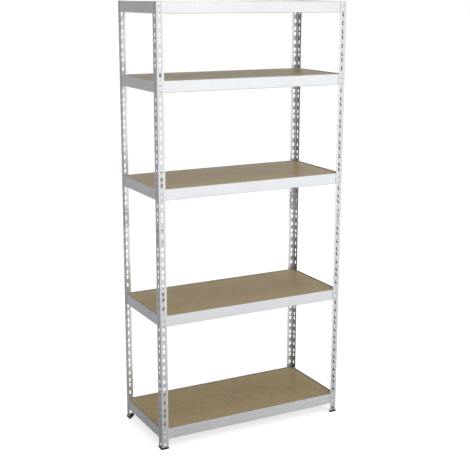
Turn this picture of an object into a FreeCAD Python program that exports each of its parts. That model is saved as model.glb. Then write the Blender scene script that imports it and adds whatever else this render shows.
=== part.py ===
import FreeCAD, Part
import math
import os

from FreeCAD import Vector

# Boltless steel shelving: four angle posts, each in two halves, a ring of four beams
# at each of five levels, and a loose board inside each ring.
# Origin on the floor under the middle of the unit, +X to the right, +Y to the rear,
# +Z up. All sizes are in millimetres.

# ---------------------------------------------------------------- driving sizes
WIDTH = 900.0            # over the posts, along X
DEPTH = 400.0            # over the posts, along Y
HEIGHT = 1900.0          # floor to the tops of the posts
SHELF_TOPS = (91.0, 604.0, 1148.0, 1589.0, 1900.0)   # top edge of the beams, each level

POST_FLANGE = 32.0       # each leg of the angle
POST_SHEET = 1.2
POST_BEND = 3.2          # inside radius of the angle's corner
STRIP_START = 8.4        # the punched strip of a leg, from the angle's corner
STRIP_END = 23.6
STRIP_RECESS = 0.8       # how far the strip is pressed in
STRIP_SLOPE = 1.2        # width of the slope down to it
END_NOTCH = 10.0         # depth of the open notch in the ends that meet at the joint

KEYHOLE_HEAD_R = 5.8     # round end, wide enough for a rivet's head
KEYHOLE_NECK_R = 3.1     # narrow end, where the rivet's shank sits
KEYHOLE_CENTRES = 9.6    # between the centres of the two ends
NECK_OFFSET = 6.2        # from the keyhole's middle to the neck's centre
KEYHOLE_SPACING = 22.0   # least height between neighbouring keyholes
PAIR_GAP = 24.0          # between the two keyholes that hold one beam end
PAIR_BELOW_TOP = 9.0     # a beam's top edge to its upper keyhole
JOINT_KEYHOLE = 25.0     # the joiner's keyholes, above and below the post joint
# The pattern repeats: one keyhole points up, then two point down.
KEYHOLE_GROUP = ((0.0, True), (36.5, False), (60.5, False))
GROUP_PITCH = 97.0
# Height of one upward keyhole in each run of the pattern, from the floor to the top.
RUN_STARTS = (22.0, 118.5, 640.0, 1080.0, 1225.0, 1613.0)

BEAM_HEIGHT = 47.0
BEAM_SHEET = 1.0
BEAM_FOLD = 2.4          # thickness over the doubled top of a beam
LEDGE_DROP = 11.5        # top edge of a beam to the face that carries the board
LEDGE_REACH = 22.0       # outer face of a beam to the edge of its ledge
LEDGE_LIP = 3.5          # turned-down edge of the ledge
BEAM_TOE = 8.0           # inward fold along the bottom edge
BEAM_TOE_LIP = 3.0
BEAM_BEND = 0.6          # inside radius of the folds
TOP_BEND = 0.15          # inside radius of the doubled top
LONG_END_GAP = 5.0       # a long beam's end to the outside of the post
SIDE_END_GAP = 3.5       # a side beam's end to the outside of the post
LONG_TAB = 21.0          # single-sheet tab at each end of a long beam
SIDE_TAB = 18.5          # and of a side beam

BOARD_THICKNESS = 9.0
BOARD_CLEARANCE = 2.0    # to the beams, all round

RIVET_HEAD_R = 4.8
RIVET_HEAD_RISE = 2.0
RIVET_SHANK_R = 2.8
RIVET_TAIL_R = 4.0
RIVET_TAIL_RISE = 1.4
RIVET_HOLE_R = 2.85

JOINER_LENGTH = 80.0
JOINER_SHEET = 1.2
JOINER_LEG = 27.0
JOINER_SLOT = 28.0
JOINER_SLOT_R = 3.4

FOOT_HEIGHT = 8.0
FOOT_SOLE = 3.0
FOOT_WALL = 1.6          # outside the post
FOOT_FENCE = 2.0         # inside the post and along the slanted side
FOOT_PLAY = 0.15
FOOT_CORNER_R = 2.5
FOOT_NOSE = 4.0          # straight end beside each leg, before the slanted side

# ---------------------------------------------------------------- derived sizes
STRIP_INSIDE = STRIP_RECESS + POST_SHEET    # post's outer plane to the strip's inside
KEYHOLE_LINE = (STRIP_START + STRIP_END) / 2
JOINT_HEIGHT = (FOOT_SOLE + HEIGHT) / 2

# Each corner's place, and its turn about Z from the front left one.
CORNERS = {
    "front_left": (-WIDTH / 2, -DEPTH / 2, 0),
    "front_right": (WIDTH / 2, -DEPTH / 2, 90),
    "rear_right": (WIDTH / 2, DEPTH / 2, 180),
    "rear_left": (-WIDTH / 2, DEPTH / 2, 270),
}

X_AXIS = Vector(1, 0, 0)
Y_AXIS = Vector(0, 1, 0)
Z_AXIS = Vector(0, 0, 1)
ORIGIN = Vector(0, 0, 0)

os.makedirs("parts", exist_ok=True)


# ---------------------------------------------------------------- outlines
def rounded_face(corners):
    """Face in the XY plane. A corner is (x, y, radius), with radius 0 where it is sharp."""
    count = len(corners)
    rounds = []
    for i, (x, y, radius) in enumerate(corners):
        here = Vector(x, y, 0)
        before = (Vector(*corners[i - 1][:2], 0) - here).normalize()
        after = (Vector(*corners[(i + 1) % count][:2], 0) - here).normalize()
        half = before.getAngle(after) / 2
        reach = radius / math.tan(half)
        inward = (before + after).normalize() if radius else ORIGIN
        middle = here + inward * (radius / math.sin(half) - radius)
        rounds.append((here + before * reach, middle, here + after * reach, radius))
    edges = []
    for i, (start, middle, end, radius) in enumerate(rounds):
        if radius:
            edges.append(Part.Arc(start, middle, end).toShape())
        edges.append(Part.LineSegment(end, rounds[(i + 1) % count][0]).toShape())
    return Part.Face(Part.Wire(edges))


def sheet_face(line, thickness):
    """Section of folded sheet to the left of a line of (x, y, inside bend radius)."""
    points = [Vector(x, y, 0) for x, y, _ in line]
    ways = [(b - a).normalize() for a, b in zip(points, points[1:])]
    ways = [ways[0]] + ways + [ways[-1]]
    near, far = [], []
    for i, point in enumerate(points):
        bend = line[i][2]
        arriving, leaving = ways[i], ways[i + 1]
        sideways = (Z_AXIS.cross(arriving) + Z_AXIS.cross(leaving)).normalize()
        shift = sideways * (thickness / sideways.dot(Z_AXIS.cross(arriving)))
        outside = bend + thickness if bend else 0
        turns_left = arriving.cross(leaving).z > 0
        near.append((point.x, point.y, outside if turns_left else bend))
        far.append((point.x + shift.x, point.y + shift.y, bend if turns_left else outside))
    return rounded_face(near + far[::-1])


def slot_prism(height, length, radius, depth):
    """Round-ended upright slot through a front leg, centred on the keyhole line."""
    reach = Vector(0, 0, length / 2 - radius)
    middle = Vector(KEYHOLE_LINE, -1, height)
    side = X_AXIS * radius
    tip = Z_AXIS * radius
    top, bottom = middle + reach, middle - reach
    outline = Part.Wire([
        Part.Arc(top + side, top + tip, top - side).toShape(),
        Part.LineSegment(top - side, bottom - side).toShape(),
        Part.Arc(bottom - side, bottom - tip, bottom + side).toShape(),
        Part.LineSegment(bottom + side, top + side).toShape(),
    ])
    return Part.Face(outline).extrude(Y_AXIS * (depth + 1))


def on_both_legs(shapes):
    """Shapes on a post's front leg, and the same on its side leg."""
    swap = (X_AXIS - Y_AXIS).normalize()
    return shapes + [shape.mirror(ORIGIN, swap) for shape in shapes]


def at_corner(shape, corner):
    """Copy of a shape made with the front left post's corner at the origin."""
    x, y, turn = CORNERS[corner]
    placed = shape.copy()
    placed.rotate(ORIGIN, Z_AXIS, turn)
    placed.translate(Vector(x, y, 0))
    return placed


def export(name, shape):
    shape.exportStep(f"parts/{name}.step")


# ---------------------------------------------------------------- keyhole pattern
def shelf_pair(top):
    """Heights of the two keyholes that hold a beam end."""
    upper = top - PAIR_BELOW_TOP
    return upper - PAIR_GAP, upper


def pattern_run(low, high, start):
    """Keyholes of the repeating pattern that fit between two heights."""
    holes = []
    first = math.floor((low - start) / GROUP_PITCH)
    last = math.ceil((high - start) / GROUP_PITCH)
    for group in range(first, last + 1):
        for rise, points_up in KEYHOLE_GROUP:
            height = start + group * GROUP_PITCH + rise
            if low + KEYHOLE_SPACING <= height <= high - KEYHOLE_SPACING:
                holes.append((height, points_up))
    return holes


def keyholes():
    """Every keyhole of a whole post, as (height of its middle, whether it points up)."""
    pairs = [shelf_pair(top) for top in SHELF_TOPS]
    lower_joint = JOINT_HEIGHT - JOINT_KEYHOLE
    upper_joint = JOINT_HEIGHT + JOINT_KEYHOLE
    holes = [(height, False) for pair in pairs for height in pair]
    holes += [(lower_joint, False), (upper_joint, True)]
    lows = [0.0, pairs[0][1], pairs[1][1], upper_joint, pairs[2][1], pairs[3][1]]
    highs = [pairs[0][0], pairs[1][0], lower_joint, pairs[2][0], pairs[3][0], pairs[4][0]]
    for low, high, start in zip(lows, highs, RUN_STARTS):
        holes += pattern_run(low, high, start)
    return sorted(holes)


def neck_height(height, points_up):
    return height + NECK_OFFSET if points_up else height - NECK_OFFSET


def keyhole_prism(height, points_up):
    """Teardrop hole through the front leg of the front left post."""
    tip = Z_AXIS if points_up else -Z_AXIS
    neck = Vector(KEYHOLE_LINE, -1, neck_height(height, points_up))
    head = neck - tip * KEYHOLE_CENTRES
    lean = math.asin((KEYHOLE_HEAD_R - KEYHOLE_NECK_R) / KEYHOLE_CENTRES)
    right = X_AXIS * math.cos(lean) + tip * math.sin(lean)
    left = -X_AXIS * math.cos(lean) + tip * math.sin(lean)
    neck_right, neck_left = neck + right * KEYHOLE_NECK_R, neck + left * KEYHOLE_NECK_R
    head_right, head_left = head + right * KEYHOLE_HEAD_R, head + left * KEYHOLE_HEAD_R
    outline = Part.Wire([
        Part.Arc(neck_right, neck + tip * KEYHOLE_NECK_R, neck_left).toShape(),
        Part.LineSegment(neck_left, head_left).toShape(),
        Part.Arc(head_left, head - tip * KEYHOLE_HEAD_R, head_right).toShape(),
        Part.LineSegment(head_right, neck_right).toShape(),
    ])
    return Part.Face(outline).extrude(Y_AXIS * (STRIP_INSIDE + 2))


# ---------------------------------------------------------------- posts
def post_section():
    """Angle with its outer corner at the origin, legs along +X and +Y, strips pressed in."""
    leg = [
        (STRIP_START, 0),
        (STRIP_START + STRIP_SLOPE, STRIP_RECESS),
        (STRIP_END - STRIP_SLOPE, STRIP_RECESS),
        (STRIP_END, 0),
        (POST_FLANGE, 0),
    ]
    side_leg = [(y, x, 0) for x, y in leg[::-1]]
    front_leg = [(x, y, 0) for x, y in leg]
    return sheet_face(side_leg + [(0, 0, POST_BEND)] + front_leg, POST_SHEET)


def post_half(bottom, top):
    post = post_section().extrude(Z_AXIS * (top - bottom))
    post.translate(Z_AXIS * bottom)
    holes = [keyhole_prism(height, points_up) for height, points_up in keyholes()
             if bottom < height < top]
    holes.append(slot_prism(JOINT_HEIGHT, 2 * END_NOTCH, KEYHOLE_NECK_R, STRIP_INSIDE + 1))
    return post.cut(Part.makeCompound(on_both_legs(holes)))


# ---------------------------------------------------------------- rivets
def rivet(height, grip):
    """Rivet through a front leg's strip and what lies against the strip's inside."""
    ball = (RIVET_HEAD_R ** 2 + RIVET_HEAD_RISE ** 2) / (2 * RIVET_HEAD_RISE)
    half = math.asin(RIVET_HEAD_R / ball) / 2
    bulge = Vector(ball * math.sin(half), ball * (1 - math.cos(half)) - RIVET_HEAD_RISE, 0)
    crown = Part.Arc(Vector(RIVET_HEAD_R, 0, 0), bulge, Vector(0, -RIVET_HEAD_RISE, 0)).toShape()
    tail_top = grip + RIVET_TAIL_RISE
    outline = [
        Vector(0, -RIVET_HEAD_RISE, 0),
        Vector(0, tail_top, 0),
        Vector(RIVET_TAIL_R, tail_top, 0),
        Vector(RIVET_TAIL_R, grip, 0),
        Vector(RIVET_SHANK_R, grip, 0),
        Vector(RIVET_SHANK_R, 0, 0),
        Vector(RIVET_HEAD_R, 0, 0),
    ]
    profile = Part.Face(Part.Wire([crown] + Part.makePolygon(outline).Edges))
    solid = profile.revolve(ORIGIN, Y_AXIS, 360)
    solid.translate(Vector(KEYHOLE_LINE, STRIP_RECESS, height))
    return solid


def rivet_heights(top):
    """Heights of the rivets in a beam end: the shanks hang in the keyholes' necks."""
    return [neck_height(height, False) for height in shelf_pair(top)]


def corner_rivets(heights, grip):
    """Rivets at the given heights on both legs of all four posts, as one group."""
    one_post = on_both_legs([rivet(height, grip) for height in heights])
    return Part.makeCompound([at_corner(shape, corner) for corner in CORNERS for shape in one_post])


# ---------------------------------------------------------------- beams
def beam_section():
    """Folded beam: x runs inward from its outer face and y up, with its top edge at 0."""
    toe_top = BEAM_TOE_LIP - BEAM_HEIGHT
    return sheet_face([
        (LEDGE_REACH, -LEDGE_DROP - LEDGE_LIP, 0),
        (LEDGE_REACH, -LEDGE_DROP, BEAM_BEND),
        (BEAM_FOLD, -LEDGE_DROP, BEAM_BEND),
        (BEAM_FOLD, 0, TOP_BEND),
        (0, 0, TOP_BEND),
        (0, -BEAM_HEIGHT, BEAM_BEND),
        (BEAM_TOE, -BEAM_HEIGHT, BEAM_BEND),
        (BEAM_TOE, toe_top, 0),
    ], BEAM_SHEET)


def beam(span, end_gap, tab):
    """Front-type beam for posts `span` apart over all, its outer face on y = 0, top at 0."""
    length = span - 2 * end_gap
    bar = beam_section().extrude(Z_AXIS * length)
    bar.rotate(ORIGIN, Vector(1, 1, 1), 120)
    bar.translate(X_AXIS * (-length / 2))
    cutters = []
    for end in (-1, 1):
        centre = Vector(end * (length - tab) / 2, BEAM_SHEET + LEDGE_REACH / 2, -BEAM_HEIGHT / 2)
        relief = Part.makeBox(tab, LEDGE_REACH, BEAM_HEIGHT + 2)
        relief.translate(centre - relief.BoundBox.Center)
        cutters.append(relief)
        for height in rivet_heights(0):
            foot = Vector(end * (span / 2 - KEYHOLE_LINE), -1, height)
            cutters.append(Part.makeCylinder(RIVET_HOLE_R, BEAM_SHEET + 2, foot, Y_AXIS))
    return bar.cut(Part.makeCompound(cutters))


def place_beam(bar, turn, top):
    """Turn a front-type beam about Z to its own side of the unit, at a level."""
    depth = (DEPTH if turn % 180 == 0 else WIDTH) / 2 - STRIP_INSIDE
    placed = bar.copy()
    placed.translate(Vector(0, -depth, top))
    placed.rotate(ORIGIN, Z_AXIS, turn)
    return placed


# ---------------------------------------------------------------- boards, joiners, feet
def shelf_board(top):
    margin = STRIP_INSIDE + BEAM_FOLD + BOARD_CLEARANCE
    length, depth = WIDTH - 2 * margin, DEPTH - 2 * margin
    corner = Vector(-length / 2, -depth / 2, top - LEDGE_DROP)
    return Part.makeBox(length, depth, BOARD_THICKNESS, corner)


def post_joiner(heights):
    """Angle plate inside the two post halves, against the insides of their strips."""
    end = STRIP_INSIDE + JOINER_LEG
    line = [(STRIP_INSIDE, end, 0), (STRIP_INSIDE, STRIP_INSIDE, POST_BEND), (end, STRIP_INSIDE, 0)]
    plate = sheet_face(line, JOINER_SHEET).extrude(Z_AXIS * JOINER_LENGTH)
    plate.translate(Z_AXIS * (JOINT_HEIGHT - JOINER_LENGTH / 2))
    depth = STRIP_INSIDE + JOINER_SHEET + 1
    holes = [slot_prism(JOINT_HEIGHT, JOINER_SLOT, JOINER_SLOT_R, depth)]
    for height in heights:
        holes.append(Part.makeCylinder(RIVET_HOLE_R, depth, Vector(KEYHOLE_LINE, 0, height), Y_AXIS))
    return plate.cut(Part.makeCompound(on_both_legs(holes)))


def foot():
    """Three-sided cap: a sole, a wall round the post's legs and a slanted inner side."""
    near = -FOOT_PLAY - FOOT_WALL
    far = POST_FLANGE + FOOT_PLAY + FOOT_WALL
    body = rounded_face([
        (near, near, FOOT_CORNER_R),
        (far, near, FOOT_WALL),
        (far, FOOT_NOSE, FOOT_WALL),
        (FOOT_NOSE, far, FOOT_WALL),
        (near, far, FOOT_WALL),
    ]).extrude(Z_AXIS * FOOT_HEIGHT)
    leg_length = POST_FLANGE + 2 * FOOT_PLAY
    leg_width = STRIP_INSIDE + 2 * FOOT_PLAY
    groove = Part.makeBox(leg_length, leg_width, FOOT_HEIGHT, Vector(-FOOT_PLAY, -FOOT_PLAY, FOOT_SOLE))
    inner = leg_width - FOOT_PLAY + FOOT_FENCE
    slant = far + FOOT_NOSE - FOOT_FENCE * math.sqrt(2)
    pocket = rounded_face([
        (inner, inner, 1),
        (slant - inner, inner, 1),
        (inner, slant - inner, 1),
    ]).extrude(Z_AXIS * FOOT_HEIGHT)
    pocket.translate(Z_AXIS * FOOT_SOLE)
    return body.cut(Part.makeCompound(on_both_legs([groove]) + [pocket]))


# ---------------------------------------------------------------- assembly
def build_posts():
    lower = post_half(FOOT_SOLE, JOINT_HEIGHT)
    upper = post_half(JOINT_HEIGHT, HEIGHT)
    cap = foot()
    joint_rivets = [
        neck_height(JOINT_HEIGHT - JOINT_KEYHOLE, False),
        neck_height(JOINT_HEIGHT + JOINT_KEYHOLE, True),
    ]
    joiner = post_joiner(joint_rivets)
    for corner in CORNERS:
        export(f"lower_post_{corner}", at_corner(lower, corner))
        export(f"upper_post_{corner}", at_corner(upper, corner))
        export(f"post_joiner_{corner}", at_corner(joiner, corner))
        export(f"foot_{corner}", at_corner(cap, corner))
    export("joiner_rivets", corner_rivets(joint_rivets, POST_SHEET + JOINER_SHEET))


def build_level(level, top, long_beam, side_beam):
    sides = {"front": (long_beam, 0), "right": (side_beam, 90),
             "rear": (long_beam, 180), "left": (side_beam, 270)}
    for side, (bar, turn) in sides.items():
        export(f"{side}_beam_{level}", place_beam(bar, turn, top))
    export(f"beam_rivets_{level}", corner_rivets(rivet_heights(top), POST_SHEET + BEAM_SHEET))
    export(f"shelf_board_{level}", shelf_board(top))


build_posts()
long_bar = beam(WIDTH, LONG_END_GAP, LONG_TAB)
side_bar = beam(DEPTH, SIDE_END_GAP, SIDE_TAB)
for shelf, shelf_top in enumerate(SHELF_TOPS, start=1):
    build_level(shelf, shelf_top, long_bar, side_bar)
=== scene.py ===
"""Boltless steel shelving: materials, light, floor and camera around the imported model. Metres."""
import math

import bpy
from mathutils import Matrix, Vector


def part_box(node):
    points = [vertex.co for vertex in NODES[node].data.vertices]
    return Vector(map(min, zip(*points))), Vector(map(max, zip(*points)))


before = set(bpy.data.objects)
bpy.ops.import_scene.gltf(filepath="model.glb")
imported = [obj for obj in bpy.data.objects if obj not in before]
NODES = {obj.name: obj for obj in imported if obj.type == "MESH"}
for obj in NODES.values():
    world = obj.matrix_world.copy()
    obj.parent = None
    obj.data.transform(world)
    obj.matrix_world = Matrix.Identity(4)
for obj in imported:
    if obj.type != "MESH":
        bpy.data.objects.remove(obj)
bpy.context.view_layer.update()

CORNERS = ("front_left", "front_right", "rear_right", "rear_left")
LEVELS = (1, 2, 3, 4, 5)

# ---------------------------------------------------------------- camera
CAMERA_PLACE = Vector((-2.0535, -3.8703, 1.9344))
CAMERA_YAW = math.radians(28.09)
CAMERA_PITCH = math.radians(13.15)
CAMERA_ROLL = math.radians(0.19)
CAMERA_LENS = 76.39
CAMERA_SHIFT = (0.0, -0.02)
SENSOR_WIDTH = 36.0

# ---------------------------------------------------------------- finishes
# Scales are in cells to the metre. A pair of tones is light, dark. A bump is its height in
# metres and its strength.
MIDDLE = (0.3, 0.7)         # where most of a noise's values lie

ZINC_METALLIC = 0.9
BEAM_TONES = ((0.87, 0.89, 0.91), (0.80, 0.82, 0.84))
POST_TONES = ((0.86, 0.88, 0.90), (0.78, 0.80, 0.82))
JOINER_TONES = ((0.66, 0.68, 0.70), (0.52, 0.54, 0.56))
BEAM_ROUGH = 0.32
POST_ROUGH = 0.33
JOINER_ROUGH = 0.42
ROLL_ACROSS = 900.0         # roll lines, across the sheet's run
ROLL_ALONG = 6.0            # and along it
CLOUD_SCALE = 9.0
SPANGLE_SCALE = 150.0
CLOUD_SHARE = 0.45          # how much of the tone each layer makes
ROLL_SHARE = 0.35
SPANGLE_SHARE = 0.20
TONE_SPAN = (0.15, 0.85)    # where the tone is darkest and lightest
ROLL_ROUGH = 0.03           # how far the roll lines change the roughness, up and down
SPANGLE_ROUGH = 0.02        # and the spangle
ROLL_BUMP = (0.00002, 0.5)

STRIP = (0.0084, 0.0236)    # the punched strip of a post's leg, from the angle's corner
STRIP_EDGE = 0.0012         # its soft edges
# painted shade that darkens the pressed strip of a post's leg
STRIP_SHADE_TONE = (0.88, 0.88, 0.88)
SIDE_LEG_INNER = (0.0011, 0.0022)   # depths of a side leg's inner face, from its outer face, where painted shade darkens it
INNER_EDGE = (0.0002, 0.0004)       # and how softly that zone starts and ends
# painted shade on a side leg's inner face, where the shelf shades it
INNER_SHADE_TONE = (0.42, 0.42, 0.43)

RIVET_METALLIC = 0.85
RIVET_TONES = ((0.95, 0.96, 0.97), (0.86, 0.87, 0.88))
RIVET_ROUGH = (0.16, 0.26)
RIVET_MARKS = 420.0
RIVET_BUMP = (0.0002, 0.4)

BOARD_TONES = ((0.530, 0.388, 0.172), (0.440, 0.315, 0.130))
BOARD_CLOUDS = 14.0
BOARD_MOTTLE = 120.0
FIBRES_ALONG_X = (260, 1500, 900)
FIBRES_ALONG_Y = (1500, 300, 900)
# Each layer: the most it covers, the noise at which it starts and is full, and its colour.
MOTTLE_LAYER = (0.8, 0.40, 0.66, (0.68, 0.520, 0.270))
DARK_FIBRE_LAYER = (0.55, 0.52, 0.75, (0.270, 0.180, 0.070))
PALE_FIBRE_LAYER = (0.45, 0.55, 0.75, (0.68, 0.530, 0.300))
BOARD_SHADOW_RIM = (0.006, 0.005)  # the painted shadow along a board's edges, its width along X and along Y
# the colour of the painted shadow along a board's edges
RIM_SHADOW_TONE = (0.060, 0.042, 0.024)
BOARD_ROUGH = (0.30, 0.42)
BOARD_BUMP = (0.0003, 0.35)

FOOT_TONES = ((0.030, 0.030, 0.032), (0.010, 0.010, 0.011))
FOOT_DUST = 60.0
DUST_SPAN = (0.35, 0.8)     # the noise at which the dust starts and is full
FOOT_GRAIN = 1600.0
FOOT_ROUGH = (0.38, 0.58)
FOOT_BUMP = (0.0001, 0.5)

FLOOR_HALF = 60.0           # half the floor's width
FLOOR_TONES = ((0.87, 0.87, 0.87), (0.84, 0.84, 0.84))
FLOOR_GRAIN = 40.0
FLOOR_ROUGH = 0.9
FLOOR_SPECULAR = 0.1
FLOOR_GLOW = 0.66

# ---------------------------------------------------------------- light
SKY_LIGHT = 0.55            # soft light from overhead
GROUND_LIGHT = 0.22         # and from below
FRONT_LIGHT = 1.50          # and from the front, from low down to high up
FRONT_MOST = 1.10           # the front is no brighter than this
# A low band on the other sides: from the rear, the left and the right.
SIDE_LIGHT = {(0, 1, 0): 0.43, (-1, 0, 0): 0.45, (1, 0, 0): 0.60}
LOBE_POWER = 2.0            # how fast a side's light fades off its axis
FRONT_FADE = (-0.43, -0.33)     # heights of a direction over which the front fades in,
BAND_FADE = (-0.54, -0.36)      # over which the band fades in,
HIGH_FADE = (0.34, 0.0)         # and over which the band fades out
BACKDROP = 1.0              # what shows behind the object
# Each soft box: its name, its place, what it lights, its width and height, and its power.
SOFT_BOXES = (
    ("key", (0.2, -3.6, 4.4), (0.0, 0.0, 1.0), (3.0, 2.4), 20.0),
    ("overhead", (0.2, 0.0, 3.6), (0.0, 0.0, 0.0), (2.4, 1.6), 20.0),
    ("rear_fill", (2.6, 4.4, 2.6), (0.0, 0.0, 1.0), (3.0, 2.4), 10.0),
)


def new_material(name):
    """An empty node material: the material, its tree and its Principled shader."""
    material = bpy.data.materials.new(name)
    material.use_nodes = True
    shader = material.node_tree.nodes["Principled BSDF"]
    return material, material.node_tree, shader


def add_node(tree, kind, inputs=(), **settings):
    """One node, with its settings as keywords and its input values as (name, value) pairs."""
    node = tree.nodes.new(kind)
    for key, value in settings.items():
        setattr(node, key, value)
    for key, value in inputs:
        node.inputs[key].default_value = value
    return node


def place_in_metres(tree, stretch=(1, 1, 1)):
    """The point's own place on its piece, in metres, with each axis scaled by stretch."""
    coordinates = add_node(tree, "ShaderNodeTexCoord")
    mapping = add_node(tree, "ShaderNodeMapping", (("Scale", stretch),))
    tree.links.new(coordinates.outputs["Object"], mapping.inputs["Vector"])
    return mapping.outputs["Vector"]


def noise(tree, vector, scale, detail=3.0, roughness=0.5):
    """Noise from 0 to 1, with scale cells to the metre."""
    node = add_node(tree, "ShaderNodeTexNoise",
                    (("Scale", scale), ("Detail", detail), ("Roughness", roughness)))
    tree.links.new(vector, node.inputs["Vector"])
    return node.outputs["Fac"]


def ranged(tree, value, low, high, start=0.0, end=1.0):
    """Value from start to end, spread from low to high."""
    node = add_node(tree, "ShaderNodeMapRange",
                    (("From Min", start), ("From Max", end), ("To Min", low), ("To Max", high)))
    tree.links.new(value, node.inputs["Value"])
    return node.outputs["Result"]


def ramp(tree, value, tones, span=MIDDLE):
    """The dark of two tones where value is low in its span, and the light one where it is high."""
    node = add_node(tree, "ShaderNodeValToRGB")
    for element, place, colour in zip(node.color_ramp.elements, span, reversed(tones)):
        element.position = place
        element.color = (*colour, 1)
    tree.links.new(value, node.inputs["Fac"])
    return node.outputs["Color"]


def mix(tree, amount, colour, tone, blend="MIX"):
    """A colour socket mixed with a plain tone, by an amount socket."""
    node = add_node(tree, "ShaderNodeMix", ((7, (*tone, 1)),), data_type="RGBA", blend_type=blend)
    tree.links.new(amount, node.inputs[0])
    tree.links.new(colour, node.inputs[6])
    return node.outputs[2]


def math_node(tree, operation, first, second):
    """Two values, each a number or a socket, joined by an operation."""
    node = add_node(tree, "ShaderNodeMath", operation=operation)
    for socket, value in zip(node.inputs, (first, second)):
        if isinstance(value, bpy.types.NodeSocket):
            tree.links.new(value, socket)
        else:
            socket.default_value = value
    return node.outputs[0]


def across_xy(tree, vector):
    """How far a point lies from the middle of the object, along X and along Y."""
    place = add_node(tree, "ShaderNodeSeparateXYZ")
    tree.links.new(vector, place.inputs["Vector"])
    return [math_node(tree, "ABSOLUTE", place.outputs[axis], 0.0) for axis in "XY"]


def bump(tree, shader, height, distance, strength):
    """Bump from a height of 0 to 1 that stands distance metres tall."""
    node = add_node(tree, "ShaderNodeBump", (("Distance", distance), ("Strength", strength)))
    tree.links.new(height, node.inputs["Height"])
    tree.links.new(node.outputs["Normal"], shader.inputs["Normal"])


def zinc_sheet(name, run, tones, rough):
    """Galvanised sheet, rolled along the axis run (0, 1 or 2): spangle, roll lines, soft clouds."""
    material, tree, shader = new_material(name)
    shader.inputs["Metallic"].default_value = ZINC_METALLIC
    roll = [ROLL_ACROSS] * 3
    roll[run] = ROLL_ALONG
    lines = noise(tree, place_in_metres(tree, roll), 1.0, 4.0, 0.6)
    plain = place_in_metres(tree)
    clouds = noise(tree, plain, CLOUD_SCALE, 3.0, 0.55)
    spangle = add_node(tree, "ShaderNodeTexVoronoi", (("Scale", SPANGLE_SCALE),))
    tree.links.new(plain, spangle.inputs["Vector"])
    grey = add_node(tree, "ShaderNodeRGBToBW")
    tree.links.new(spangle.outputs["Color"], grey.inputs["Color"])
    grains = grey.outputs["Val"]
    tone = math_node(tree, "ADD", ranged(tree, clouds, 0.0, CLOUD_SHARE, *MIDDLE),
                     ranged(tree, lines, 0.0, ROLL_SHARE, *MIDDLE))
    tone = math_node(tree, "ADD", tone, ranged(tree, grains, 0.0, SPANGLE_SHARE))
    tree.links.new(ramp(tree, tone, tones, TONE_SPAN), shader.inputs["Base Color"])
    dull = math_node(tree, "ADD", ranged(tree, lines, -ROLL_ROUGH, ROLL_ROUGH, *MIDDLE),
                     ranged(tree, grains, rough - SPANGLE_ROUGH, rough + SPANGLE_ROUGH))
    tree.links.new(dull, shader.inputs["Roughness"])
    bump(tree, shader, lines, *ROLL_BUMP)
    return material


def zone(tree, value, start, end, start_edge, end_edge):
    """1 from start to end, falling to 0 over an edge on either side."""
    return math_node(tree, "MULTIPLY", ranged(tree, value, 0.0, 1.0, start - start_edge, start),
                     ranged(tree, value, 1.0, 0.0, end, end + end_edge))


def paint_post_shade(material):
    """Paints shade into the colour of every post: on the strip pressed into both legs, and on the
    inside of the side legs.
    """
    tree = material.node_tree
    base = tree.nodes["Principled BSDF"].inputs["Base Color"]
    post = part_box("lower_post_rear_right")[1]
    depths = [math_node(tree, "SUBTRACT", outer, side)
              for outer, side in zip(post, across_xy(tree, place_in_metres(tree)))]
    from_corner = math_node(tree, "MAXIMUM", *depths)
    strip = zone(tree, from_corner, *STRIP, STRIP_EDGE, STRIP_EDGE)
    # painted shade in the pressed strip
    colour = mix(tree, strip, base.links[0].from_socket, STRIP_SHADE_TONE, "MULTIPLY")
    # painted shade on the inner face of the side legs
    inner = zone(tree, depths[0], *SIDE_LEG_INNER, *INNER_EDGE)
    tree.links.new(mix(tree, inner, colour, INNER_SHADE_TONE, "MULTIPLY"), base)


def bright_zinc(name):
    """Plated rivet steel: brighter and smoother than the sheet, with faint hammer marks."""
    material, tree, shader = new_material(name)
    shader.inputs["Metallic"].default_value = RIVET_METALLIC
    marks = noise(tree, place_in_metres(tree), RIVET_MARKS, 2.0)
    tree.links.new(ramp(tree, marks, RIVET_TONES), shader.inputs["Base Color"])
    tree.links.new(ranged(tree, marks, *RIVET_ROUGH, *MIDDLE), shader.inputs["Roughness"])
    bump(tree, shader, marks, *RIVET_BUMP)
    return material


def board_rim_shadow(tree, plain):
    """How near a point is to the edges of its board, for the painted shadow along them: 1 on the
    sawn edges, 0 further in.
    """
    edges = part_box("shelf_board_1")[1]
    nearest = [ranged(tree, side, 0.0, 1.0, half - rim, half)
               for side, half, rim in zip(across_xy(tree, plain), edges, BOARD_SHADOW_RIM)]
    return math_node(tree, "MAXIMUM", *nearest)


def fibreboard(name):
    """Pressed wood fibre: warm brown, cloudy, with fine pale and dark fibres lying every way, and a
    painted shadow along its edges.
    """
    material, tree, shader = new_material(name)
    plain = place_in_metres(tree)
    clouds = noise(tree, plain, BOARD_CLOUDS, 5.0, 0.6)
    mottle = noise(tree, plain, BOARD_MOTTLE, 5.0, 0.7)
    fibres_x = noise(tree, place_in_metres(tree, FIBRES_ALONG_X), 1.0, 3.0, 0.7)
    fibres_y = noise(tree, place_in_metres(tree, FIBRES_ALONG_Y), 1.0, 3.0, 0.7)
    base = ramp(tree, clouds, BOARD_TONES)
    for pattern, layer in ((mottle, MOTTLE_LAYER), (fibres_x, DARK_FIBRE_LAYER),
                           (fibres_y, PALE_FIBRE_LAYER)):
        most, start, full, tone = layer
        base = mix(tree, ranged(tree, pattern, 0.0, most, start, full), base, tone)
    # painted shadow along the board's edges, where it meets the beams
    base = mix(tree, board_rim_shadow(tree, plain), base, RIM_SHADOW_TONE)
    tree.links.new(base, shader.inputs["Base Color"])
    tree.links.new(ranged(tree, mottle, *BOARD_ROUGH, *MIDDLE), shader.inputs["Roughness"])
    bump(tree, shader, mottle, *BOARD_BUMP)
    return material


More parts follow.
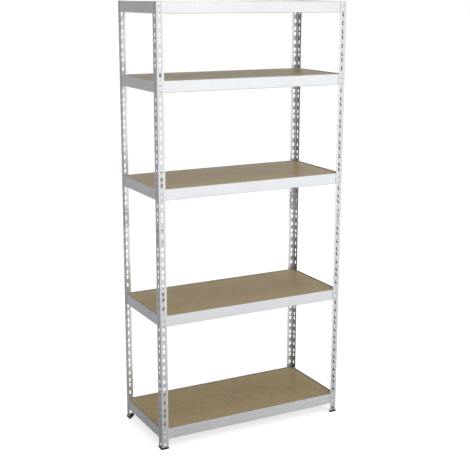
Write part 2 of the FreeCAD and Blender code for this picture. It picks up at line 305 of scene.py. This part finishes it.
def moulded_plastic(name):
    """Black moulded plastic with a fine grain and a little dust."""
    material, tree, shader = new_material(name)
    plain = place_in_metres(tree)
    grain = noise(tree, plain, FOOT_GRAIN, 2.0)
    dust = noise(tree, plain, FOOT_DUST, 4.0, 0.6)
    tree.links.new(ramp(tree, dust, FOOT_TONES, DUST_SPAN), shader.inputs["Base Color"])
    tree.links.new(ranged(tree, grain, *FOOT_ROUGH, *MIDDLE), shader.inputs["Roughness"])
    bump(tree, shader, grain, *FOOT_BUMP)
    return material


def give(material, *names):
    """Puts the material on CAD nodes."""
    for name in names:
        slots = NODES[name].data.materials
        slots.clear()
        slots.append(material)


def dress_posts():
    """The posts and the joiners inside them."""
    posts = zinc_sheet("post_zinc", 2, POST_TONES, POST_ROUGH)
    paint_post_shade(posts)
    joiners = zinc_sheet("joiner_zinc", 2, JOINER_TONES, JOINER_ROUGH)
    for corner in CORNERS:
        give(posts, f"lower_post_{corner}", f"upper_post_{corner}")
        give(joiners, f"post_joiner_{corner}")


def dress_levels():
    """The beams and boards of the five levels, and all the rivets."""
    long_sheet = zinc_sheet("long_beam_zinc", 0, BEAM_TONES, BEAM_ROUGH)
    side_sheet = zinc_sheet("side_beam_zinc", 1, BEAM_TONES, BEAM_ROUGH)
    rivets = bright_zinc("rivet_zinc")
    board = fibreboard("fibreboard")
    give(rivets, "joiner_rivets")
    for level in LEVELS:
        give(long_sheet, f"front_beam_{level}", f"rear_beam_{level}")
        give(side_sheet, f"left_beam_{level}", f"right_beam_{level}")
        give(rivets, f"beam_rivets_{level}")
        give(board, f"shelf_board_{level}")


def dress_feet():
    """The plastic feet under the posts."""
    plastic = moulded_plastic("foot_black")
    for corner in CORNERS:
        give(plastic, f"foot_{corner}")


def make_floor():
    """A wide pale floor with a soft glow of its own, seen but lighting nothing."""
    mesh = bpy.data.meshes.new("floor")
    corners = [(x * FLOOR_HALF, y * FLOOR_HALF, 0)
               for x, y in ((-1, -1), (1, -1), (1, 1), (-1, 1))]
    mesh.from_pydata(corners, [], [(0, 1, 2, 3)])
    floor = bpy.data.objects.new("floor", mesh)
    bpy.context.scene.collection.objects.link(floor)
    material, tree, shader = new_material("floor_paper")
    grain = noise(tree, place_in_metres(tree), FLOOR_GRAIN)
    tree.links.new(ramp(tree, grain, FLOOR_TONES), shader.inputs["Base Color"])
    shader.inputs["Roughness"].default_value = FLOOR_ROUGH
    shader.inputs["Specular IOR Level"].default_value = FLOOR_SPECULAR
    shader.inputs["Emission Color"].default_value = (1, 1, 1, 1)
    shader.inputs["Emission Strength"].default_value = FLOOR_GLOW
    mesh.materials.append(material)
    floor.visible_diffuse = False
    floor.visible_glossy = False


def facing(tree, direction, axis, strength):
    """Light that is full along an axis and fades to nothing at right angles to it."""
    along = add_node(tree, "ShaderNodeVectorMath", ((1, axis),), operation="DOT_PRODUCT")
    tree.links.new(direction, along.inputs[0])
    share = math_node(tree, "MAXIMUM", along.outputs["Value"], 0.0)
    share = math_node(tree, "POWER", share, LOBE_POWER)
    return math_node(tree, "MULTIPLY", share, strength)


def make_world():
    """Soft studio light that differs by direction, and a white backdrop behind the object."""
    world = bpy.data.worlds.new("studio")
    bpy.context.scene.world = world
    world.use_nodes = True
    tree = world.node_tree
    background = tree.nodes["Background"]
    background.inputs["Color"].default_value = (1, 1, 1, 1)
    direction = add_node(tree, "ShaderNodeTexCoord").outputs["Generated"]
    height = add_node(tree, "ShaderNodeSeparateXYZ")
    tree.links.new(direction, height.inputs["Vector"])
    front_in, band_in, band_out = (ranged(tree, height.outputs["Z"], 0.0, 1.0, *fade)
                                   for fade in (FRONT_FADE, BAND_FADE, HIGH_FADE))
    level = 0.0
    for axis, strength in SIDE_LIGHT.items():
        level = math_node(tree, "ADD", facing(tree, direction, axis, strength), level)
    level = math_node(tree, "MULTIPLY", math_node(tree, "MULTIPLY", level, band_out), band_in)
    front = facing(tree, direction, (0, -1, 0), FRONT_LIGHT)
    front = math_node(tree, "MULTIPLY", math_node(tree, "MINIMUM", front, FRONT_MOST), front_in)
    level = math_node(tree, "ADD", front, level)
    level = math_node(tree, "ADD", facing(tree, direction, (0, 0, 1), SKY_LIGHT), level)
    level = math_node(tree, "ADD", facing(tree, direction, (0, 0, -1), GROUND_LIGHT), level)
    rays = add_node(tree, "ShaderNodeLightPath")
    shown = add_node(tree, "ShaderNodeMix", data_type="FLOAT")
    tree.links.new(rays.outputs["Is Camera Ray"], shown.inputs[0])
    tree.links.new(level, shown.inputs[2])
    shown.inputs[3].default_value = BACKDROP
    tree.links.new(shown.outputs[0], background.inputs["Strength"])


def soft_box(name, place, aim, size, power):
    """A soft area light at a place, turned to what it lights."""
    data = bpy.data.lights.new(name, "AREA")
    data.shape = "RECTANGLE"
    data.size, data.size_y = size
    data.energy = power
    light = bpy.data.objects.new(name, data)
    bpy.context.scene.collection.objects.link(light)
    light.location = place
    light.rotation_euler = (Vector(aim) - Vector(place)).to_track_quat("-Z", "Y").to_euler()
    light.visible_camera = False


def make_lights():
    """A key high in front, one overhead, and a weaker fill from behind on the right."""
    for box in SOFT_BOXES:
        soft_box(*box)


def make_camera():
    """The camera stands front left, as high as the top shelf, and looks a little down."""
    data = bpy.data.cameras.new("camera")
    data.lens = CAMERA_LENS
    data.sensor_width = SENSOR_WIDTH
    data.shift_x, data.shift_y = CAMERA_SHIFT
    camera = bpy.data.objects.new("camera", data)
    turn = Matrix.Rotation(-CAMERA_YAW, 4, "Z")
    tilt = Matrix.Rotation(math.pi / 2 - CAMERA_PITCH, 4, "X")
    roll = Matrix.Rotation(CAMERA_ROLL, 4, "Z")
    camera.matrix_world = Matrix.Translation(CAMERA_PLACE) @ turn @ tilt @ roll
    bpy.context.scene.collection.objects.link(camera)
    bpy.context.scene.camera = camera


make_camera()
dress_posts()
dress_levels()
dress_feet()
make_floor()
make_world()
make_lights()
bpy.context.scene.view_settings.view_transform = "Standard"
